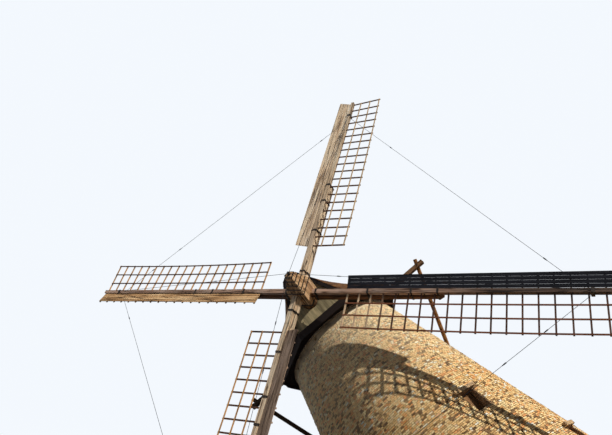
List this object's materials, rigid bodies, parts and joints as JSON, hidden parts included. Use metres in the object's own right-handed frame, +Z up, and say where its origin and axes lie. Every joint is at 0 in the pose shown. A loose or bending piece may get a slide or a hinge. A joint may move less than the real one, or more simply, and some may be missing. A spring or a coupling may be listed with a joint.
{
  "type": "tower windmill",
  "caption": "Round masonry tower mill with a turning wooden cap, tail pole and a lattice-sailed rotor of crossed timber stocks held by wire stays.",
  "frame": {"origin": "on the tower's axis at ground level, on the underside of the ground floor slab", "axes": "+Z up; -Y is the side that the sails face at rest; +X to the right seen from the front"},
  "size_m": [15.6568, 10.3075, 19.1087],
  "materials": {
    "masonry": "rough weathered brick and thin stone in lime mortar",
    "mortar": "smooth grey mortar",
    "pale_timber": "weathered, split, sun-bleached timber",
    "brown_timber": "weathered brown timber",
    "dark_timber": "dark stained timber",
    "grey_boards": "grey-green weathered boards",
    "roof_boards": "brown roof boards",
    "lattice_timber": "thin weathered laths and bars",
    "board_brown": "weathered brown planks",
    "board_grey": "grey-brown weathered planks",
    "board_dark": "dark blue-black planks",
    "iron": "dark forged iron",
    "iron_wire": "dark wire"
  },
  "bodies": {
    "tower": {"wall_front_right": "masonry", "wall_right": "masonry", "wall_rear_right": "masonry", "wall_rear_left": "masonry", "wall_left": "masonry", "wall_front_left": "masonry", "mortar_band": "mortar", "curb_ring": "pale_timber", "ground_floor": "mortar", "upper_floors": "brown_timber", "window_frames": "brown_timber", "window_leaves": "brown_timber", "window_lintels": "pale_timber", "window_sills": "masonry", "door_frame": "brown_timber", "door_leaf": "brown_timber", "door_lintel": "pale_timber"},
    "cap": {"cap_floor_ring": "dark_timber", "eave_board": "dark_timber", "front_boarding": "grey_boards", "rear_boarding": "grey_boards", "roof_left": "roof_boards", "roof_right": "roof_boards", "ridge_board": "dark_timber", "verge_boards": "dark_timber", "weather_beam": "pale_timber", "tail_bearing_beam": "brown_timber", "spreader_beam": "brown_timber", "tail_pole": "brown_timber", "tail_braces": "brown_timber"},
    "sails": {"windshaft": "brown_timber", "poll_end": "pale_timber", "poll_bands": "iron", "stock_upper_left": "pale_timber", "stock_upper_right": "pale_timber", "sail_whips": "pale_timber", "stock_clamps": "iron", "lattice_a": "lattice_timber", "lattice_b": "lattice_timber", "lattice_c": "lattice_timber", "lattice_d": "lattice_timber", "windboard_a": "pale_timber", "windboard_b": "board_brown", "windboard_c": "board_grey", "windboard_d": "board_dark", "front_stays": "iron_wire", "rim_stays": "iron_wire", "stay_collars": "iron"}
  },
  "joints": [
    {"name": "cap_turn", "type": "hinge", "parent": "tower", "child": "cap", "pos_m": [0, 0, 10.36], "axis": [0, 0, 1], "continuous": true},
    {"name": "sail_turn", "type": "hinge", "parent": "cap", "child": "sails", "pos_m": [0, -3.17039, 11.36429], "axis": [0, -0.9907, 0.1357], "continuous": true}
  ]
}
